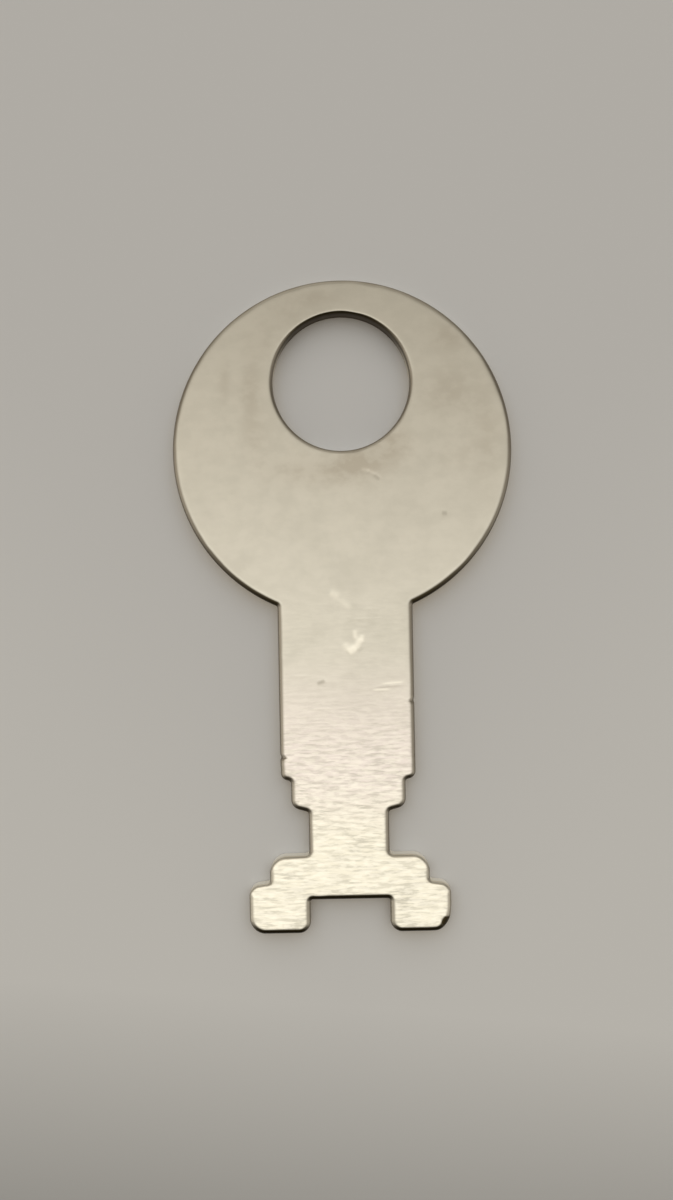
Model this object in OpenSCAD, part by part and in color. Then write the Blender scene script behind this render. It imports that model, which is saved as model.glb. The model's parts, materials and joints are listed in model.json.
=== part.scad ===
// Flat key for the trap door of a toy bank, stamped from one strip of steel.
// It lies on its back: +Y runs from the bit to the bow, +X to the right and
// +Z out of the upper face. The origin is on the underside, halfway along it.

/* [Strip] */
// Overall length, from the ends of the feet to the top of the bow
key_l = 38.1; // [34:0.1:46]
// Thickness of the steel strip
key_t = 1.2; // [0.8:0.1:2]

/* [Bow] */
// Diameter of the round bow
bow_d = 19.8; // [17:0.1:22]
// Diameter of the hole for the key ring
hole_d = 8; // [5:0.1:10]
// Distance from the bow's centre up to the hole's centre
hole_rise = 3.95; // [2:0.05:4.4]
// Radius of the inner corners between the bow and the shank
bow_corner_r = 0.15; // [0.1:0.05:0.8]

/* [Shank] */
// Width of the shank
shank_w = 7.9; // [7.2:0.1:9]
// Width of the short collar between the two pairs of shoulders
collar_w = 6.7; // [6:0.1:7.2]
// Width of the neck between the collar and the bit
neck_w = 4.7; // [4:0.1:5]
// Height of the upper shoulders over the ends of the feet, at mid slope
upper_shoulder_h = 8.95; // [8.65:0.05:10]
// Height of the lower shoulders over the ends of the feet, at mid slope
lower_shoulder_h = 7.2; // [6:0.05:7.5]
// Slope of the shoulders, in degrees
shoulder_slope = 15; // [0:1:20]

/* [Bit] */
// Width of the bar across the bit
bar_w = 9.35; // [8.5:0.05:10]
// Height of the bar's top over the ends of the feet
bar_h = 4.5; // [4.45:0.05:5]
// Width over both feet
bit_w = 11.8; // [11.2:0.1:13]
// Height of the tops of the feet, at mid slope
foot_h = 2.85; // [2.4:0.05:2.9]
// Slope of the tops of the feet, in degrees
foot_slope = 7; // [0:1:20]
// Width of the notch between the feet
notch_w = 4.65; // [4:0.05:6]
// Depth of the notch between the feet
notch_h = 1.95; // [1.3:0.05:2.2]

/* [Corners] */
// Radius of the upper shoulders' outer corners
upper_shoulder_r = 0.45; // [0.1:0.05:0.45]
// Radius of the lower shoulders' outer corners
lower_shoulder_r = 0.6; // [0.1:0.05:0.7]
// Radius of the inner corners under the shoulders
shoulder_inner_r = 0.2; // [0.1:0.05:0.25]
// Radius of the inner corners where the neck meets the bar
neck_corner_r = 0.3; // [0.1:0.05:0.8]
// Radius of the bar's upper corners
bar_r = 1; // [0.2:0.05:1.1]
// Radius of the inner corners between the bar and the feet
bar_inner_r = 0.25; // [0.1:0.05:0.4]
// Radius of the upper outer corners of the feet
foot_top_r = 0.65; // [0.1:0.05:0.9]
// Radius of the lower outer corners of the feet
foot_r = 0.95; // [0.1:0.05:1.1]
// Radius of the lower corners of the feet beside the notch
foot_inner_r = 0.7; // [0.1:0.05:1.1]
// Radius of the notch's inner corners
notch_r = 0.15; // [0.1:0.05:0.8]

/* [Hidden] */
$fn = 96;

bow_y = key_l / 2 - bow_d / 2;
feet_y = -key_l / 2;
hole_y = bow_y + hole_rise;

// Corners up the right side, from the notch to where the shank runs into the bow,
// each as [x, y, radius]. A sloped edge's rise is shared between its two ends.
function rise(outer_w, inner_w, slope) = tan(slope) * (outer_w - inner_w) / 4;
foot_rise = rise(bit_w, bar_w, foot_slope);
lower_rise = rise(collar_w, neck_w, shoulder_slope);
upper_rise = rise(shank_w, collar_w, shoulder_slope);

right_corners = [
    [notch_w / 2, feet_y + notch_h, notch_r],
    [notch_w / 2, feet_y, foot_inner_r],
    [bit_w / 2, feet_y, foot_r],
    [bit_w / 2, feet_y + foot_h - foot_rise, foot_top_r],
    [bar_w / 2, feet_y + foot_h + foot_rise, bar_inner_r],
    [bar_w / 2, feet_y + bar_h, bar_r],
    [neck_w / 2, feet_y + bar_h, neck_corner_r],
    [neck_w / 2, feet_y + lower_shoulder_h - lower_rise, shoulder_inner_r],
    [collar_w / 2, feet_y + lower_shoulder_h + lower_rise, lower_shoulder_r],
    [collar_w / 2, feet_y + upper_shoulder_h - upper_rise, shoulder_inner_r],
    [shank_w / 2, feet_y + upper_shoulder_h + upper_rise, upper_shoulder_r],
    [shank_w / 2, bow_y - bow_d / 4, 0]
];
last = len(right_corners) - 1;
left_corners = [for (i = [last:-1:0]) [-right_corners[i].x, right_corners[i].y, right_corners[i].z]];
blade_corners = concat(right_corners, left_corners);

function flat(v) = [v.x, v.y];
function unit(v) = v / norm(v);

// Sign of the turn at corner p: above zero where the outline bulges out.
function turn(a, p, b) = cross(flat(p) - flat(a), flat(b) - flat(p));

// The scrap between a corner p and the circle that touches both of its sides.
// It is cut from an outer corner, and added in an inner one.
module corner_scrap(a, p, b) {
    to_a = unit(flat(a) - flat(p));
    to_b = unit(flat(b) - flat(p));
    half = acos(to_a * to_b) / 2;
    cut = p.z / tan(half);
    centre = flat(p) + unit(to_a + to_b) * p.z / sin(half);
    difference() {
        polygon([flat(p), flat(p) + to_a * cut, centre, flat(p) + to_b * cut]);
        translate(centre) circle(r = p.z);
    }
}

// A polygon whose corners [x, y, radius], listed counterclockwise, are rounded by true arcs.
module rounded_outline(corners) {
    n = len(corners);
    triples = [for (i = [0:n - 1]) [corners[(i + n - 1) % n], corners[i], corners[(i + 1) % n]]];
    outer = [for (t = triples) if (t[1].z > 0 && turn(t[0], t[1], t[2]) > 0) t];
    inner = [for (t = triples) if (t[1].z > 0 && turn(t[0], t[1], t[2]) < 0) t];
    difference() {
        union() {
            polygon([for (c = corners) flat(c)]);
            for (t = inner) corner_scrap(t[0], t[1], t[2]);
        }
        for (t = outer) corner_scrap(t[0], t[1], t[2]);
    }
}

// The small fillet between the round bow and one side of the shank.
module bow_fillet() {
    r = bow_corner_r;
    bow_r = bow_d / 2;
    x = shank_w / 2;
    centre = [x + r, -sqrt(pow(bow_r + r, 2) - pow(x + r, 2))];
    meet = [x, -sqrt(pow(bow_r, 2) - pow(x, 2))];
    translate([0, bow_y]) difference() {
        polygon([meet, [x, centre.y], centre, unit(centre) * bow_r]);
        translate(centre) circle(r = r);
    }
}

// The whole stamping seen from above.
module key_outline() {
    difference() {
        union() {
            translate([0, bow_y]) circle(d = bow_d);
            rounded_outline(blade_corners);
            bow_fillet();
            mirror([1, 0]) bow_fillet();
        }
        translate([0, hole_y]) circle(d = hole_d);
    }
}

// Bow, shank and bit are one stamping of the same strip, plated all over.
module flat_key() {
    color([0.86, 0.82, 0.75])
    linear_extrude(height = key_t) key_outline();
}

flat_key();
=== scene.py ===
import json
import math

import bpy
import numpy as np
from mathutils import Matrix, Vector
from mathutils.geometry import delaunay_2d_cdt


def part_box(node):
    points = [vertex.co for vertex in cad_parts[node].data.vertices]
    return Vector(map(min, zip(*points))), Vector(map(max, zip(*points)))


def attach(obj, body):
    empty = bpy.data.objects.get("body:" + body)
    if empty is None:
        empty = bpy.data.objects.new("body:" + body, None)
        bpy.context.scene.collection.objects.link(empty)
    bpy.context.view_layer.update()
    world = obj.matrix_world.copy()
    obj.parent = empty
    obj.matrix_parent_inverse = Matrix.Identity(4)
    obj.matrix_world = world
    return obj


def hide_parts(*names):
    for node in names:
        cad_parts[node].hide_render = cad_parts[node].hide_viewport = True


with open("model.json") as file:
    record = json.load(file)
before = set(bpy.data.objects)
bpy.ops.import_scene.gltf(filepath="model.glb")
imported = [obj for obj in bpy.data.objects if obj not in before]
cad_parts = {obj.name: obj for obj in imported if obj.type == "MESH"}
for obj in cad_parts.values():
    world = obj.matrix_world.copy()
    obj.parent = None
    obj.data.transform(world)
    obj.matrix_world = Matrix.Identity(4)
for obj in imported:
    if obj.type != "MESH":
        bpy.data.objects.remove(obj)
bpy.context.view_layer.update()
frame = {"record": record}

MM = 0.001

# The camera hangs almost straight over the middle of the key, as a phone held in the hand.
# It stands 64.4 mm over the widest line of the key, which is round_h below its upper face, and
# the picture is turned by the 1.065 degrees at which the key lies in the photograph.
key_low, key_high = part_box("flat_key")
key_t = (key_high.z - key_low.z) / MM
round_h = 0.28
view_x, view_y, view_height = -0.489, 0.385, 64.4
view_turn = 1.065
sensor = 36.0
photo_pixels = 1200
pixels_per_mm = 17.093

camera = bpy.data.objects.new("camera", bpy.data.cameras.new("camera"))
camera.data.sensor_width = sensor
camera.data.lens = sensor * pixels_per_mm * view_height / photo_pixels
camera.data.clip_start = 1 * MM
camera.data.clip_end = 10
camera.location = Vector((view_x, view_y, view_height + key_t - round_h)) * MM
camera.rotation_euler = (0, 0, -math.radians(view_turn))
bpy.context.scene.collection.objects.link(camera)
bpy.context.scene.camera = camera

# The key is stamped in one blow from rolled steel strip and thinly nickel plated.
# The blow draws its upper edges round and shears its walls, bright above and torn below,
# with a thin burr at the foot. Tumbling, the bank's lock and pockets have left dings in it.

# Sizes in millimetres. The length, thickness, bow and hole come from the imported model.
ring_hole = next(m for m in frame["record"]["mounts"] if m["name"] == "key_ring_hole")
key_l = (key_high.y - key_low.y) / MM
bow_d = (key_high.x - key_low.x) / MM
hole_d = 2 * ring_hole["dims"]["r_mm"]
hole_y = ring_hole["pos_m"][1] / MM
bow_corner_r = 0.15
shank_w, collar_w, neck_w = 7.9, 6.7, 4.7
upper_shoulder_h, lower_shoulder_h = 8.95, 7.2
shoulder_slope, foot_slope = 15, 7
bar_w, bar_h = 9.35, 4.5
bit_w, foot_h = 11.8, 2.85
notch_w, notch_h = 4.65, 1.95
upper_shoulder_r, lower_shoulder_r, shoulder_inner_r = 0.45, 0.6, 0.2
neck_corner_r, bar_r, bar_inner_r = 0.3, 1, 0.25
foot_top_r, foot_r, foot_inner_r, notch_r = 0.65, 0.95, 0.7, 0.15
bow_y = key_l / 2 - bow_d / 2
feet_y = -key_l / 2

# Spacing of the mesh, in millimetres, along the outline and over the faces. Points on the blade
# and on marks are spaced wider across the key by a factor, and all keep clear of the edge.
outline_step = 0.1
arc_step, arc_turn = 0.05, 0.16
face_step, brushed_step, mark_step, back_step = 0.15, 0.05, 0.045, 0.32
brushed_stretch, mark_stretch = 3, 1.5
upper_clearance, back_clearance = 0.045, 0.1


def noise_grid(cell_x, cell_y, seed):
    """Makes a function of x and y that runs smoothly between random heights from -1 to 1.

    The heights stand on a lattice whose cells are cell_x by cell_y. Between them the value
    is blended with the weight t * t * (3 - 2 * t) of the place t in the cell, first along x
    and then along y.
    """
    side = 256
    heights = np.random.default_rng(seed).uniform(-1, 1, (side, side))

    def height(x, y):
        u, v = x / cell_x + side / 2, y / cell_y + side / 2
        i, j = np.floor(u).astype(int), np.floor(v).astype(int)
        a, b = u - i, v - j
        a, b = a * a * (3 - 2 * a), b * b * (3 - 2 * b)
        i, j = i % side, j % side
        i1, j1 = (i + 1) % side, (j + 1) % side
        low = heights[i, j] * (1 - a) + heights[i1, j] * a
        high = heights[i, j1] * (1 - a) + heights[i1, j1] * a
        return low * (1 - b) + high * b

    return height


def smooth(start, end, value):
    """Rises from 0 at start to 1 at end, as t * t * (3 - 2 * t)."""
    t = np.clip((value - start) / (end - start), 0, 1)
    return t * t * (3 - 2 * t)


def spaced(start, end, step):
    """Numbers from start up to but not at end, as evenly spaced as step allows."""
    n = max(1, math.ceil(abs(end - start) / step))
    return start + (end - start) * np.arange(n) / n


def arc(centre, r, start, turn, outward):
    """Points and outward normals along an arc: centre + r * (cos, sin) of the angle.

    They are at most arc_step apart, and at most arc_turn in radians.
    """
    angle = spaced(start, start + turn, min(arc_turn, arc_step / r))
    round_ = np.stack([np.cos(angle), np.sin(angle)], axis=1)
    return centre + r * round_, outward * round_


def corner_arc(before, corner, after):
    """The arc that rounds a corner (x, y, radius), touching both of its sides.

    Its centre lies on the bisector, radius / sin(half angle) from the corner.
    """
    r = corner[2]
    before, p, after = (np.array(c[:2], float) for c in (before, corner, after))
    to_a = (before - p) / np.linalg.norm(before - p)
    to_b = (after - p) / np.linalg.norm(after - p)
    half = math.acos(to_a @ to_b) / 2
    bisector = (to_a + to_b) / np.linalg.norm(to_a + to_b)
    centre = p + bisector * r / math.sin(half)
    first, last = p + to_a * r / math.tan(half), p + to_b * r / math.tan(half)
    start, end = (math.atan2(*(q - centre)[::-1]) for q in (first, last))
    turn = (end - start + math.pi) % (2 * math.pi) - math.pi
    return centre, r, start, turn, math.copysign(1, turn)


def joined(start, arcs):
    """One path from start through the arcs, with a straight run up to each of them."""
    points, normals, end = [], [], start
    for centre, r, first, turn, outward in arcs:
        curve, normal = arc(centre, r, first, turn, outward)
        gap = np.linalg.norm(curve[0] - end)
        if gap > 1e-6:
            share = spaced(0, 1, outline_step / gap)[:, None]
            points.append(end + (curve[0] - end) * share)
            normals.append(np.repeat(normal[:1], len(share), axis=0))
        points.append(curve)
        normals.append(normal)
        last = np.array([math.cos(first + turn), math.sin(first + turn)])
        end = centre + r * last
    return np.concatenate(points + [end[None]]), np.concatenate(normals + [outward * last[None]])


def key_outline():
    """The outline of the key, counterclockwise, as points and outward normals.

    The right side runs from the middle of the notch up to the top of the bow, through
    corners that are rounded by arcs, and the left side is its mirror image.
    """
    def rise(outer_w, inner_w, slope):
        return math.tan(math.radians(slope)) * (outer_w - inner_w) / 4

    foot_rise = rise(bit_w, bar_w, foot_slope)
    lower_rise = rise(collar_w, neck_w, shoulder_slope)
    upper_rise = rise(shank_w, collar_w, shoulder_slope)
    corners = [
        (0, feet_y + notch_h, 0),
        (notch_w / 2, feet_y + notch_h, notch_r),
        (notch_w / 2, feet_y, foot_inner_r),
        (bit_w / 2, feet_y, foot_r),
        (bit_w / 2, feet_y + foot_h - foot_rise, foot_top_r),
        (bar_w / 2, feet_y + foot_h + foot_rise, bar_inner_r),
        (bar_w / 2, feet_y + bar_h, bar_r),
        (neck_w / 2, feet_y + bar_h, neck_corner_r),
        (neck_w / 2, feet_y + lower_shoulder_h - lower_rise, shoulder_inner_r),
        (collar_w / 2, feet_y + lower_shoulder_h + lower_rise, lower_shoulder_r),
        (collar_w / 2, feet_y + upper_shoulder_h - upper_rise, shoulder_inner_r),
        (shank_w / 2, feet_y + upper_shoulder_h + upper_rise, upper_shoulder_r),
        (shank_w / 2, bow_y, 0),
    ]
    arcs = [corner_arc(*three) for three in zip(corners, corners[1:], corners[2:])]
    bow, bow_r = np.array([0, bow_y]), bow_d / 2
    across = shank_w / 2 + bow_corner_r
    fillet = bow + [across, -math.sqrt((bow_r + bow_corner_r) ** 2 - across ** 2)]
    to_bow = math.atan2(*(bow - fillet)[::-1])
    arcs.append((fillet, bow_corner_r, math.pi, to_bow - math.pi, -1))
    arcs.append((bow, bow_r, to_bow - math.pi, 1.5 * math.pi - to_bow, 1))
    points, normals = joined(np.array(corners[0][:2]), arcs)
    mirror = np.array([-1, 1])
    return (
        np.concatenate([points, points[-2:0:-1] * mirror]),
        np.concatenate([normals, normals[-2:0:-1] * mirror]),
    )


def hole_outline():
    """The ring hole, clockwise, so that the metal is on the left as round the key."""
    return arc(np.array([0, hole_y]), hole_d / 2, math.pi / 2, -2 * math.pi, -1)


# Scratches, in millimetres on the upper face: middle, length, width, angle and depth, and
# how bright the groove is painted: a painted highlight where the number is above zero, and
# painted shade and dirt where it is below zero.
scratches = [
    (2.70, -4.50, 1.9, 0.16, 4, 0.004, 0.7),
    (2.40, -4.68, 2.6, 0.15, 4, 0.008, -0.2),
    (2.02, -4.88, 1.5, 0.17, 1, 0.004, 0.7),
    (-1.48, -4.38, 0.75, 0.30, 20, 0.008, -0.5),
    (1.30, 7.90, 0.7, 0.30, -10, 0.005, 0.3),
    (1.66, 7.80, 0.7, 0.24, -35, 0.004, 0.3),
    (1.98, 7.54, 0.7, 0.24, -40, 0.006, -0.35),
    (-0.62, 0.70, 0.9, 0.56, -30, 0.004, 0.5),
    (-0.02, 0.16, 1.3, 0.44, -36, 0.003, 0.4),
    (1.30, -0.72, 2.4, 0.12, 2, 0.002, 0.2),
    (-2.60, -4.00, 1.8, 0.12, -1, 0.002, 0.2),
    (-1.50, -5.95, 1.7, 0.16, 3, 0.003, 0.3),
    (1.50, -0.17, 1.3, 0.14, 1, 0.002, 0.2),
    (3.10, -1.36, 1.2, 0.14, 3, 0.002, 0.25),
    (5.90, 5.35, 0.5, 0.36, 0, 0.005, -0.4),
]
# The ding is a hook of short strokes, each written as a scratch is. Its bright strokes are
# painted highlights, and its dark last stroke is a painted shadow.
ding = [
    (0.55, -1.62, 0.80, 0.34, 92, 0.004, 0.6),
    (0.94, -1.86, 0.62, 0.34, 80, 0.005, 0.65),
    (0.70, -2.20, 1.00, 0.46, 62, 0.007, 0.8),
    (0.36, -2.58, 0.70, 0.42, 30, 0.008, 0.9),
    (0.04, -2.36, 0.80, 0.60, 108, 0.005, 0.5),
    (0.84, -2.58, 0.60, 0.20, 50, -0.002, -0.3),
]

# Tarnish on the bow, where the ring rubs round its hole and fingers hold it: middle of each
# soft patch, its reach across and along, and its strength.
tarnish = [
    (3.0, 9.5, 1.0, 0.9, 0.9),
    (1.1, 8.4, 1.7, 0.8, 1.1),
    (-0.3, 7.7, 1.8, 0.8, 0.6),
    (-2.9, 8.0, 1.8, 0.8, 0.5),
    (-5.1, 9.8, 0.7, 1.3, 0.4),
    (-5.3, 12.6, 0.6, 1.9, 0.6),
    (-4.5, 15.3, 0.9, 1.0, 0.3),
    (-6.8, 13.3, 0.3, 1.2, 0.4),
    (-3.3, 17.0, 1.2, 0.7, 0.4),
    (-1.6, 18.0, 1.4, 0.5, 0.5),
    (6.3, 15.6, 1.1, 0.8, 0.6),
    (6.3, 12.3, 1.4, 1.4, 0.6),
    (6.9, 8.7, 1.5, 0.8, 0.25),
    (8.4, 10.0, 0.9, 2.8, 0.4),
]

# Knocks on the edges: middle, reach along the edge, and how far the round edge is pushed in.
knocks = [
    (5.66, -18.52, 0.58, 0.165),
    (-3.6, -9.6, 0.45, 0.06),
    (-3.95, -8.74, 0.10, 0.11),
    (3.95, -5.54, 0.10, 0.08),
]

# How the upper face departs from flat, in millimetres: by the strip's slow waves, and by
# brushing that starts at brushed_from and is full at brushed_full, in lines that bend a little.
wave_deep, brush_deep, fine_deep = 0.004, 0.004, 0.0025
bent_wide, bent_small = 0.07, 0.02
brushed_from, brushed_full = -3.2, -11.8
waviness = noise_grid(5.0, 6.0, 11)
undulation = noise_grid(1.5, 0.34, 12)
fine_lines = noise_grid(1.1, 0.2, 13)
bend_wide, bend_small = noise_grid(3.2, 2.1, 14), noise_grid(0.9, 0.8, 15)


def groove(x, y, cx, cy, length, width, angle):
    """How deep in a scratch a point lies, from 0 to 1.

    Across the scratch it is the bell exp(-(2 * across / width) ** 2). Along it, that is full
    up to 0.15 of its length from its middle, and fades to nothing at its ends.
    """
    turned = math.radians(angle)
    along = (x - cx) * math.cos(turned) + (y - cy) * math.sin(turned)
    across = (y - cy) * math.cos(turned) - (x - cx) * math.sin(turned)
    fading = 1 - smooth(0.15 * length, 0.5 * length, np.abs(along))
    return fading * np.exp(-((2 * across / width) ** 2))


def relief(x, y):
    """Depth of the metal below the true face, in mm, never less than 0.

    It is the sum of the strip's slow waves, of brushing that grows toward the bit and whose
    lines bend with two slower waves, and of the scratches and the ding.
    """
    bent = y + bent_wide * bend_wide(x, y) + bent_small * bend_small(x, y)
    lines = brush_deep * (1 + undulation(x, bent)) + fine_deep * (1 + fine_lines(x, bent))
    depth = wave_deep * (1 + waviness(x, y)) + smooth(brushed_from, brushed_full, y) * lines
    for *where, deep, _ in scratches + ding:
        depth = depth + deep * groove(x, y, *where)
    return np.maximum(depth, 0)


def shine(x, y):
    """How bright a mark is painted: a painted highlight above zero, painted shade and dirt below it."""
    return sum(glint * groove(x, y, *where) for *where, _, glint in scratches + ding)


def tarnished(x, y):
    """How tarnished the plate is: the sum of the patches, each a bell across and along."""
    return sum(
        strength * np.exp(-(((x - cx) / across) ** 2) - ((y - cy) / along) ** 2)
        for cx, cy, across, along, strength in tarnish
    )


# Profile of the sheared edge, in millimetres. Its rows are set by the turn of the round edge in
# degrees, and then by shares of the way down the bright wall and down the torn wall.
round_power = 0.7
round_turns = (0, 9, 18, 28, 39, 52, 68, 90)
bright_share, bright_rows = 0.55, (0.3, 0.7, 1.0)
torn_in, torn_rows = 0.03, (0.08, 0.25, 0.45, 0.65, 0.85, 1.0)
tear_deep = 0.012
burr_w, burr_h = 0.04, 0.015
# Width of the round edge where it carries no painted shade and where it carries painted shade,
# and what narrows it.
outer_round_w, outer_shaded_w = 0.44, 0.43
hole_round_w, hole_shaded_w = 0.37, 0.2
wavering, away_sharper, rubbed_sharper = 0.1, 0.4, 0.3
rubbed_from, rubbed_full = -11, -14
corner_spare = 0.02
# Painted shade on the edge, darkest where it faces the bit's end, how much of it the walls
# have, and the depths at which a knock is painted shaded.
shade_power = 1.7
shoulders_y, shoulders_reach, shoulders_less_shade = feet_y + 8.1, 1.6, 0.25
notch_side, notch_top, notch_shade = 0.55 * notch_w, feet_y + notch_h + 0.1, 0.5
outer_wall_shade, hole_wall_shade = 0.1, 1
knock_unshaded, knock_shaded = 0.05, 0.13
# The height at which a knock ends, as a share of the thickness, and how much more of it the
# round edge takes.
knock_foot, knock_round = 0.35, 0.7
edge_waver = noise_grid(0.9, 0.9, 21)
tear_long, tear_fine = noise_grid(0.5, 0.3, 22), noise_grid(0.12, 0.1, 23)


def edge_profile():
    """The rows of the edge's profile: height, roundness, inset, roughness, and how rolled and torn.

    It starts flat on the upper face and rolls over: at the turn t it has dropped by
    round_h * (1 - cos t), and sin(t) ** round_power of the round edge's width is behind it.
    Then it drops straight down the bright wall, leans in by torn_in down the torn wall, and
    turns under the burr, whose tip is burr_w further in, to the flat underside.
    """
    turn = np.radians(round_turns)
    bright, torn = np.array(bright_rows), np.array(torn_rows)
    torn_top = key_t * (1 - bright_share)
    z = np.concatenate([
        key_t - round_h * (1 - np.cos(turn)),
        key_t - round_h - bright * (key_t - round_h - torn_top),
        torn_top * (1 - torn),
        [0.6 * burr_h, burr_h],
    ])
    curve, inset, rough, rim, shear = np.zeros((5, len(z)))
    wall, tear, burr = len(turn), len(turn) + len(bright), len(z) - 2
    curve[:wall] = 1 - np.sin(turn) ** round_power
    inset[tear:burr] = torn_in * torn
    inset[burr:] = torn_in + burr_w * np.array([0.5, 1])
    rough[tear:burr] = np.sin(0.9 * math.pi * torn)
    rim[:wall] = turn / turn[-1]
    rim[wall:burr] = 1
    rim[burr] = 0.5
    shear[wall:tear] = 0.4 * bright
    shear[tear:burr] = 0.5 + 0.5 * torn
    shear[burr] = 0.5
    return z, curve, inset, rough, rim, shear


def facing_shade(points, normals):
    """How much painted shade the edge carries along an outline, from 0 to 1.

    The shade is painted onto edges that face the bit's end, and not onto those that face the
    bow: between them it is ((1 + f) / 2) to the power given above, where f is how far an edge
    faces the bit's end. The shoulders have up to the share given for them less of it, and the
    sides of the notch have at least the amount given for them.
    """
    x, y = points.T
    grime = ((1 - normals[:, 1]) / 2) ** shade_power
    grime = grime * (1 - shoulders_less_shade * np.exp(-(((y - shoulders_y) / shoulders_reach) ** 2)))
    in_notch = (np.abs(x) < notch_side) & (y < notch_top)
    return np.where(in_notch, np.maximum(grime, notch_shade), grime)


def knocked_in(x, y):
    """How far the knocks push the edge in, in mm: the sum of a bell round each of them."""
    return sum(
        deep * np.exp(-((x - cx) ** 2 + (y - cy) ** 2) / reach ** 2)
        for cx, cy, reach, deep in knocks
    )


def edge_surface(points, normals, plain_w, shaded_w, wall_shade):
    """The profile carried along an outline: a grid of points, how rolled and torn it is, and its
    painted shade.

    The round edge's width runs from plain_w where it carries no painted shade to the width given
    after it where it is painted shaded, and wavers a little. Edges that face the bow are
    narrower, those of the bit most, because the lock rubs them. The width stays under the radius
    of the tightest outer corner, the upper shoulders'. A knock pushes the round edge in, and the
    wall under it by less and less. Deep knocks are painted shaded too, and the wall has the share
    of the painted shade given by the last argument.
    """
    z, curve, inset, rough, rim, shear = edge_profile()
    x, y = points.T
    grime = facing_shade(points, normals)
    away = np.clip(normals[:, 1], 0, 1)
    rubbed = away * smooth(rubbed_from, rubbed_full, y)
    width = plain_w + (shaded_w - plain_w) * grime
    width = width * (1 + wavering * edge_waver(x, y) - away_sharper * away - rubbed_sharper * rubbed)
    width = np.minimum(width, upper_shoulder_r - corner_spare)
    knock = knocked_in(x, y)
    along = np.cumsum(np.linalg.norm(np.roll(points, -1, axis=0) - points, axis=1))
    tearing = tear_deep * np.abs(tear_long(along, z[:, None]) + tear_fine(along, z[:, None]))
    lean = smooth(knock_foot * key_t, key_t, z) + knock_round * curve
    inward = inset[:, None] + curve[:, None] * width + lean[:, None] * knock + rough[:, None] * tearing
    flat = points - normals * inward[..., None]
    heights, rim, shear = (np.repeat(row[:, None], len(points), axis=1) for row in (z, rim, shear))
    grime = np.tile(np.maximum(grime, smooth(knock_unshaded, knock_shaded, knock)), (len(z), 1))
    grime[len(round_turns):] *= wall_shade
    return np.dstack([flat, heights]), rim, shear, grime


def inside(points, rims, clearance):
    """Keeps the points that lie deeper than clearance behind the rim point nearest to them."""
    rim = np.concatenate([p for p, _ in rims])
    normal = np.concatenate([n for _, n in rims])
    kept, at_a_time = [], 2000
    for part in np.array_split(points, max(1, len(points) // at_a_time)):
        apart = ((part[:, None] - rim[None]) ** 2).sum(axis=2)
        nearest = apart.argmin(axis=1)
        behind = -((part - rim[nearest]) * normal[nearest]).sum(axis=1)
        far = np.sqrt(apart.min(axis=1))
        kept.append(part[(behind > 0) & (far > clearance)])
    return np.concatenate(kept)


def lattice(y0, y1, step_x, step_y):
    """Points of a lattice over the key's whole width, every other row shifted by half a step."""
    x, y = np.meshgrid(np.arange(-bow_d / 2, bow_d / 2, step_x), np.arange(y0, y1, step_y))
    x = x + 0.5 * step_x * (np.arange(len(x)) % 2)[:, None]
    return np.stack([x.ravel(), y.ravel()], axis=1)


def face_fill(rims, interior):
    """Triangles between closed rims and the points inside them, as indices into all of them.

    A triangle whose corners all lie on the last rim covers the hole, and is left out.
    """
    loops = [len(p) for p, _ in rims]
    corners = np.concatenate([p for p, _ in rims] + [interior])
    edges, start = [], 0
    for n in loops:
        ring = start + np.arange(n)
        edges.append(np.stack([ring, np.roll(ring, -1)], axis=1))
        start += n
    within_rims, same_place = 2, 1e-7
    edges = np.concatenate(edges).tolist()
    found = delaunay_2d_cdt(corners.tolist(), edges, [], within_rims, same_place)
    index = np.array([sources[0] for sources in found[3]])
    triangles = index[np.array(found[2])]
    over_hole = ((triangles >= start - loops[-1]) & (triangles < start)).all(axis=1)
    triangles = triangles[~over_hole]
    a, b, c = (corners[triangles[:, i]] for i in range(3))
    area = (b[:, 0] - a[:, 0]) * (c[:, 1] - a[:, 1]) - (b[:, 1] - a[:, 1]) * (c[:, 0] - a[:, 0])
    return np.where(area[:, None] > 0, triangles, triangles[:, ::-1])


def near_mark(points):
    """Whether each point lies in the box round a scratch or a stroke of the ding."""
    x, y = points.T
    near = np.zeros(len(points), bool)
    for cx, cy, length, width, angle, *_ in scratches + ding:
        turned = math.radians(angle)
        half_x = 0.5 * length * abs(math.cos(turned)) + width
        half_y = 0.5 * length * abs(math.sin(turned)) + width
        near |= (np.abs(x - cx) < half_x) & (np.abs(y - cy) < half_y)
    return near


def upper_points(rims):
    """Points over the upper face: coarse on the bow, finer on the brushed blade, finest on marks."""
    bow = lattice(brushed_from + brushed_step, key_l / 2, face_step, face_step)
    blade = lattice(feet_y, brushed_from, brushed_stretch * brushed_step, brushed_step)
    marks = lattice(feet_y, key_l / 2, mark_stretch * mark_step, mark_step)
    coarse = np.concatenate([bow, blade])
    points = np.concatenate([coarse[~near_mark(coarse)], marks[near_mark(marks)]])
    return inside(points, rims, upper_clearance)


def lower_points(rims):
    """Points over the flat underside, evenly spaced."""
    return inside(lattice(feet_y, key_l / 2, back_step, back_step), rims, back_clearance)


def wall_faces(index):
    """Four-sided faces between the rows of a grid of vertex numbers, each row a closed ring."""
    following = np.roll(index, -1, axis=1)
    corners = [index[:-1], index[1:], following[1:], following[:-1]]
    return np.stack(corners, axis=-1).reshape(-1, 4).tolist()


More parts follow.
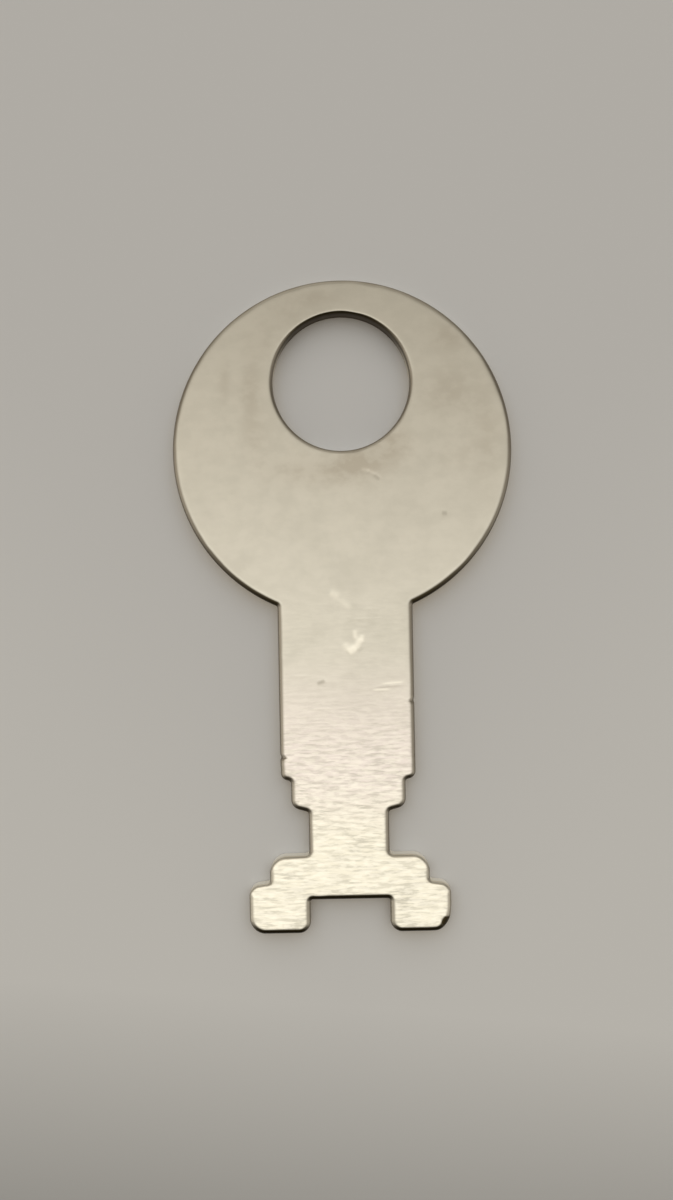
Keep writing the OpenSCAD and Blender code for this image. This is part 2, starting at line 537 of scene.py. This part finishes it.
def build_key():
    """The whole key as one closed mesh: an edge round each outline, and two faces that fill them.

    The relief is then cut into its upper side, where the marks' painted highlights and shade
    and the tarnish are worked out at each vertex too. The edges bring how rolled and torn
    they are, and their painted shade.
    """
    outlines = [key_outline(), hole_outline()]
    edges = [
        edge_surface(*outlines[0], outer_round_w, outer_shaded_w, outer_wall_shade),
        edge_surface(*outlines[1], hole_round_w, hole_shaded_w, hole_wall_shade),
    ]
    vertices, faces, rings, start = [], [], [], 0
    # How rolled and torn the edges are, and their painted shade, are kept on the vertices.
    painted = {"rim": [], "shear": [], "grime": []}
    for grid, *paints in edges:
        index = start + np.arange(grid[..., 0].size).reshape(grid.shape[:2])
        rings.append(index)
        faces += wall_faces(index)
        vertices.append(grid.reshape(-1, 3))
        for values, paint in zip(painted.values(), paints):
            values.append(paint.ravel())
        start += index.size

    for row, height, points_over in ((0, key_t, upper_points), (-1, burr_h, lower_points)):
        rims = [(edge[0][row, :, :2], normals) for edge, (_, normals) in zip(edges, outlines)]
        points = points_over(rims)
        index = np.concatenate([ring[row] for ring in rings] + [start + np.arange(len(points))])
        triangles = index[face_fill(rims, points)]
        faces += (triangles if row == 0 else triangles[:, ::-1]).tolist()
        vertices.append(np.column_stack([points, np.full(len(points), height)]))
        for values in painted.values():
            values.append(np.zeros(len(points)))
        start += len(points)

    vertices = np.concatenate(vertices)
    x, y, z = vertices.T
    upper = smooth(0.5 * key_t, key_t - round_h, z)
    # The marks' painted highlights and shade, and the tarnish, go on the upper side only.
    painted["shine"] = [shine(x, y) * upper]
    painted["tarnish"] = [tarnished(x, y) * upper]
    vertices[:, 2] -= relief(x, y) * upper

    mesh = bpy.data.meshes.new("stamped_key")
    mesh.from_pydata((vertices * MM).tolist(), [], faces)
    mesh.shade_smooth()
    for name, values in painted.items():
        attribute = mesh.attributes.new(name, "FLOAT", "POINT")
        attribute.data.foreach_set("value", np.concatenate(values).astype(np.float32))
    mesh.validate()
    made = bpy.data.objects.new("stamped_key", mesh)
    bpy.context.scene.collection.objects.link(made)
    return made


class Wire:
    """An output in a material. + - * on it add Math nodes, so a mask is written as a formula."""

    def __init__(self, socket):
        self.socket = socket

    @staticmethod
    def node(tree, kind, settings=(), inputs=(), output=0):
        """Adds any node: its settings first, and then each input's value or link."""
        made = tree.nodes.new(kind)
        for name, value in dict(settings).items():
            setattr(made, name, value)
        for name, value in dict(inputs).items():
            if isinstance(value, Wire):
                tree.links.new(value.socket, made.inputs[name])
            else:
                made.inputs[name].default_value = value
        return Wire(made.outputs[output]) if made.outputs else None

    def math(self, operation, a, b=0.0):
        return Wire.node(self.socket.id_data, "ShaderNodeMath", {"operation": operation}, {0: a, 1: b})

    def __add__(self, other):
        return self.math("ADD", self, other)

    def __radd__(self, other):
        return self.math("ADD", other, self)

    def __sub__(self, other):
        return self.math("SUBTRACT", self, other)

    def __rsub__(self, other):
        return self.math("SUBTRACT", other, self)

    def __mul__(self, other):
        return self.math("MULTIPLY", self, other)

    def __rmul__(self, other):
        return self.math("MULTIPLY", other, self)


def emptied(tree):
    """Clears a tree of nodes, and gives the function that adds nodes to it as Wire.node does."""
    tree.nodes.clear()

    def add(kind, settings=(), inputs=(), output=0):
        return Wire.node(tree, kind, settings, inputs, output)

    return add


def new_finish(name):
    """An empty material, and the function that adds nodes to it."""
    material = bpy.data.materials.new(name)
    material.use_nodes = True
    return material, emptied(material.node_tree)


def place_in_mm(add):
    """Where on its object a point lies, in millimetres: the whole place, and its x and y."""
    place = add("ShaderNodeVectorMath", {"operation": "SCALE"}, {
        0: add("ShaderNodeTexCoord", {}, {}, "Object"), "Scale": 1 / MM}, "Vector")
    x, y = (add("ShaderNodeSeparateXYZ", {}, {0: place}, axis) for axis in "XY")
    return place, x, y


def ramp(value, start, end, low=0.0, high=1.0, shape="SMOOTHSTEP"):
    """Runs from low to high while value runs from start to end, and stays level outside them."""
    return Wire.node(value.socket.id_data, "ShaderNodeMapRange", {"interpolation_type": shape}, {
        "Value": value, "From Min": start, "From Max": end, "To Min": low, "To Max": high})


def mixed(factor, a, b):
    """Colour a where factor is 0, colour b where it is 1, and between them in proportion."""
    return Wire.node(factor.socket.id_data, "ShaderNodeMix", {"data_type": "RGBA"}, {
        "Factor": factor, "A": a, "B": b}, "Result")


def nickel_finish():
    """Nickel plate: satin and tarnished on the bow, brushed and polished across the blade.

    The rolled edge and the wall below it are painted bright where they face the bow, and
    painted dark, as shade, where they face the bit's end. The marks carry painted highlights
    and painted shade.
    """
    material, add = new_finish("nickel_plate")
    place, x, y = place_in_mm(add)
    # Where along the key, in millimetres, each change of the finish starts and is full, and
    # how deep its finest lines and grains are.
    lines_from, lines_full = 2.5, -1.0
    warmer_from, warmer_full = -1.5, -9.0
    polished_from, polished_full = -9.5, -14.0
    worn_from, worn_full = -14.2, -15.0
    finest_deep = 0.006

    def stretched(where, scale, size, shift=0.0):
        """Noise whose cells are size mm over scale; shift moves it, so that two don't match."""
        scaled = add("ShaderNodeVectorMath", {"operation": "MULTIPLY_ADD"}, {
            0: where, 1: scale, 2: (shift,) * 3})
        return add("ShaderNodeTexNoise", {}, {
            "Vector": scaled, "Scale": 1 / size, "Detail": 3.0, "Roughness": 0.55})

    def painted(name):
        return add("ShaderNodeAttribute", {"attribute_name": name}, {}, "Fac")

    # The edge's painted shade, and the marks' painted highlights and shade, are read from the mesh.
    rim, shear, grime = painted("rim"), painted("shear"), painted("grime")
    glint, stain = painted("shine"), painted("tarnish")
    brushed = ramp(y, brushed_from, brushed_full)
    bend = stretched(place, (1, 1, 1), 2.4) * 0.25
    bent = add("ShaderNodeCombineXYZ", {}, {"X": x, "Y": y + bend, "Z": 0.0}, "Vector")

    smudge = ramp(stretched(place, (1, 1.3, 1), 2.2), 0.40, 0.68)
    mottle = ramp(stretched(place, (1, 1.4, 1), 0.9), 0.35, 0.65)
    grain = stretched(place, (1, 1, 1), 0.12)
    broad = stretched(place, (1, 1.6, 1), 2.0)
    lines = stretched(bent, (0.7, 5.0, 1), 0.9)
    dashes = stretched(bent, (1.3, 4.6, 1), 0.9, 1.7)
    patchy = 0.5 + ramp(broad, 0.35, 0.65) * 0.5
    streaked = brushed * 0.85 + ramp(y, lines_from, lines_full) * 0.15
    scored = ramp(lines, 0.42, 0.60) * streaked * patchy
    glossed = ramp(dashes, 0.42, 0.60) * streaked

    # The upper face: mottled plate and its tarnish, the warmer and then polished blade, the
    # brush lines, and the painted highlights, painted shade and dirt in the marks.
    plate = (0.734, 0.696, 0.615, 1)
    dull = (0.60, 0.57, 0.495, 1)
    tarnished_plate = (0.57, 0.52, 0.44, 1)
    blushed = (0.795, 0.718, 0.672, 1)
    polished = (0.843, 0.794, 0.675, 1)
    groove_grey = (0.50, 0.47, 0.40, 1)
    bare_and_glint = (0.97, 0.92, 0.815, 1)
    dirt_and_shade = (0.30, 0.27, 0.22, 1)
    colour = mixed(smudge * 0.20 + (mottle - 0.5) * 0.22 + 0.11, plate, dull)
    colour = mixed(stain * (0.5 + mottle * 0.5), colour, tarnished_plate)
    blade = mixed(ramp(y, polished_from, polished_full), blushed, polished)
    colour = mixed(ramp(y, warmer_from, warmer_full), colour, blade)
    colour = mixed(scored * 0.70, colour, groove_grey)
    colour = mixed(glossed * 0.5, colour, bare_and_glint)
    colour = mixed(ramp(glint, 0.0, 1.0), colour, bare_and_glint)
    colour = mixed(ramp(0 - glint, 0.0, 1.0), colour, dirt_and_shade)

    # The rolled edge, darker than the face, and painted darker still the more it faces the bit's
    # end: from the side that faces the bow, through the key's sides, to painted shade. On the
    # brushed blade its stretches that face the bow are rubbed, and painted bright at the foot as a
    # painted highlight.
    wall = (0.93, 0.87, 0.74, 1)
    plain_edge = (0.33, 0.29, 0.23, 1)
    rubbed_edge = (0.60, 0.565, 0.49, 1)
    side_edge = (0.28, 0.248, 0.203, 1)
    worn_side = (0.38, 0.345, 0.285, 1)
    shaded_edge = (0.045, 0.0335, 0.016, 1)
    sides = mixed(ramp(y, worn_from, worn_full), side_edge, worn_side)
    rounded = mixed(ramp(grime, 0.0, 0.28), mixed(brushed, plain_edge, rubbed_edge), sides)
    rounded = mixed(ramp(grime, 0.25, 1.0), rounded, shaded_edge)
    rounded = mixed(ramp(rim, 0.45, 0.75) * ramp(grime, 0.2, 0.0) * brushed, rounded, wall)
    colour = mixed(ramp(rim * (1 + grime * 1.5), 0.08, 0.5), colour, rounded)

    # The wall: bright above and torn below. It is painted palest, as if lit, where it faces the
    # bow; on the blade its torn part is painted darker once it turns from the bow, and the whole
    # wall is painted dark, as shade, where it faces the bit's end.
    lit_wall = (1.0, 0.96, 0.86, 1)
    torn = (0.84, 0.78, 0.66, 1)
    dark_torn = (0.31, 0.24, 0.14, 1)
    shaded_wall = (0.07, 0.051, 0.029, 1)
    on_wall = ramp(shear, 0.0, 0.13)
    lit = on_wall * ramp(grime, 0.02, 0.0)
    torn_wall = mixed(ramp(grime, 0.0, 0.07) * brushed, torn, dark_torn)
    sheared = mixed(ramp(shear, 0.45, 0.6), wall, torn_wall)
    sheared = mixed(lit, sheared, lit_wall)
    colour = mixed(on_wall, colour, mixed(ramp(grime, 0.3, 0.8), sheared, shaded_wall))

    rough = 0.34 + smudge * 0.03 + (grain - 0.5) * 0.05 - brushed * 0.03 + (lines - 0.5) * brushed * 0.1
    rough = rough + ramp(rim, 0.2, 0.8) * 0.10 + ramp(shear, 0.45, 0.7) * 0.12
    metal = 1 - ramp(shear, 0.45, 0.6) * 0.3 - lit * 0.7

    height = (lines - 0.5) * streaked * 1.7 + (dashes - 0.5) * streaked * 1.1 + (grain - 0.5) * 0.12
    bump = add("ShaderNodeBump", {}, {
        "Height": height, "Distance": finest_deep * MM, "Strength": 1.0}, "Normal")
    shader = add("ShaderNodeBsdfPrincipled", {}, {
        "Base Color": colour, "Roughness": rough, "Metallic": metal, "Normal": bump})
    add("ShaderNodeOutputMaterial", {}, {"Surface": shader})
    return material


stamped_key = build_key()
stamped_key.data.materials.append(nickel_finish())
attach(stamped_key, "root")
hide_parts("flat_key")

# The table is a smooth board, painted a matt pale grey, that runs far past the picture.
# The soft shadow of whoever looks at the key is painted onto its near side, not cast.
table_reach = 2000 * MM
far_paint, near_lit_paint = (0.694, 0.683, 0.673, 1), (0.749, 0.738, 0.719, 1)
paler_from, paler_to, paler_spread = 2.0, -32.0, 0.9
shadow_from, shadow_at, shadow_left, shadow_slant = -23.8, -45.4, 0.4, 0.10


def table_finish():
    """Matt pale grey paint with painted light and shade: a little paler toward the near side,
    and away from the key's centre line.

    The painted shadow starts at shadow_from, turned a little by shadow_slant, and darkens at a
    steady rate until it leaves the share shadow_left of the light at shadow_at.
    """
    material, add = new_finish("table_paint")
    _, x, y = place_in_mm(add)
    painted_glow = ramp(y - x.math("ABSOLUTE", x) * paler_spread, paler_from, paler_to)
    lit = ramp(y + x * shadow_slant, shadow_at, shadow_from, shadow_left, 1.0, "LINEAR")
    paint = mixed(painted_glow, far_paint, near_lit_paint)
    colour = add("ShaderNodeVectorMath", {"operation": "SCALE"}, {0: paint, "Scale": lit}, "Vector")
    shader = add("ShaderNodeBsdfPrincipled", {}, {
        "Base Color": colour, "Roughness": 0.9, "Specular IOR Level": 0.1})
    add("ShaderNodeOutputMaterial", {}, {"Surface": shader})
    return material


table_mesh = bpy.data.meshes.new("table")
table_corners = [(side_x * table_reach, side_y * table_reach, 0)
                 for side_x, side_y in ((-1, -1), (1, -1), (1, 1), (-1, 1))]
table_mesh.from_pydata(table_corners, [], [(0, 1, 2, 3)])
table = bpy.data.objects.new("table", table_mesh)
bpy.context.scene.collection.objects.link(table)
table.data.materials.append(table_finish())

# The light is a wide cool lamp over the far side of the table, and a pale, warm room around it.
# The metal mirrors the room: dark on the near side, where someone stands, then a bright window
# whose light fades evenly overhead, and a paler wall on the far side.
lamp_from = Vector((-0.03, 0.60, 1))
lamp_width = math.radians(85)
lamp = bpy.data.objects.new("soft_lamp", bpy.data.lights.new("soft_lamp", "SUN"))
lamp.data.energy = 0.98
lamp.data.angle = lamp_width
lamp.data.color = (0.78, 0.88, 1)
lamp.rotation_euler = lamp_from.to_track_quat("Z", "Y").to_euler()
lamp.visible_glossy = False
bpy.context.scene.collection.objects.link(lamp)

# Places in the room run from -1 on the near side, over 0 overhead, to 1 on the far side.
near_dark = 0.1
window_low, window_full, window_light = -0.8, -0.32, 1.28
fading_from, fading_to, fading_left = -0.2, 0.42, 0.14
far_wall_light = 0.4
right_from, right_full, right_dimmer = -0.4, 0.0, 0.35
seen_light, matt_light = 0.55, 0.41
tint_from, tint_to = 0.4, -0.3
far_tint, near_tint, matt_tint = (1, 0.93, 0.80, 1), (1, 0.985, 0.92, 1), (1, 0.883, 0.696, 1)

room = bpy.data.worlds.new("room")
room.use_nodes = True
bpy.context.scene.world = room
room_node = emptied(room.node_tree)
direction = room_node("ShaderNodeTexCoord", {}, {}, "Generated")
east, north = (room_node("ShaderNodeSeparateXYZ", {}, {0: direction}, axis) for axis in "XY")
fading = ramp(north, fading_from, fading_to, window_light, fading_left, "LINEAR")
window = ramp(north, window_low, window_full) * fading
far_wall = ramp(north, fading_to, 1.0, 0.0, far_wall_light, "LINEAR")
mirrored = near_dark + window + far_wall
mirrored = mirrored * (1 - east * right_dimmer * ramp(north, right_from, right_full))

# The metal gets the mirrored room, unless its ray has met a matt surface before. The camera
# sees an even backdrop, and every matt surface gets an even, warmer light.
bounced = room_node("ShaderNodeLightPath", {}, {}, "Diffuse Depth")
unbounced = 1 - bounced.math("MINIMUM", bounced, 1.0)
in_metal = room_node("ShaderNodeLightPath", {}, {}, "Is Glossy Ray") * unbounced
seen = room_node("ShaderNodeLightPath", {}, {}, "Is Camera Ray")
elsewhere = seen * seen_light + (1 - seen) * matt_light
strength = mirrored * in_metal + (1 - in_metal) * elsewhere
colour = mixed(ramp(north, tint_from, tint_to), far_tint, near_tint)
colour = mixed((1 - in_metal) * (1 - seen), colour, matt_tint)
background = room_node("ShaderNodeBackground", {}, {"Color": colour, "Strength": strength})
room_node("ShaderNodeOutputWorld", {}, {"Surface": background})

bpy.context.scene.view_settings.view_transform = "Standard"
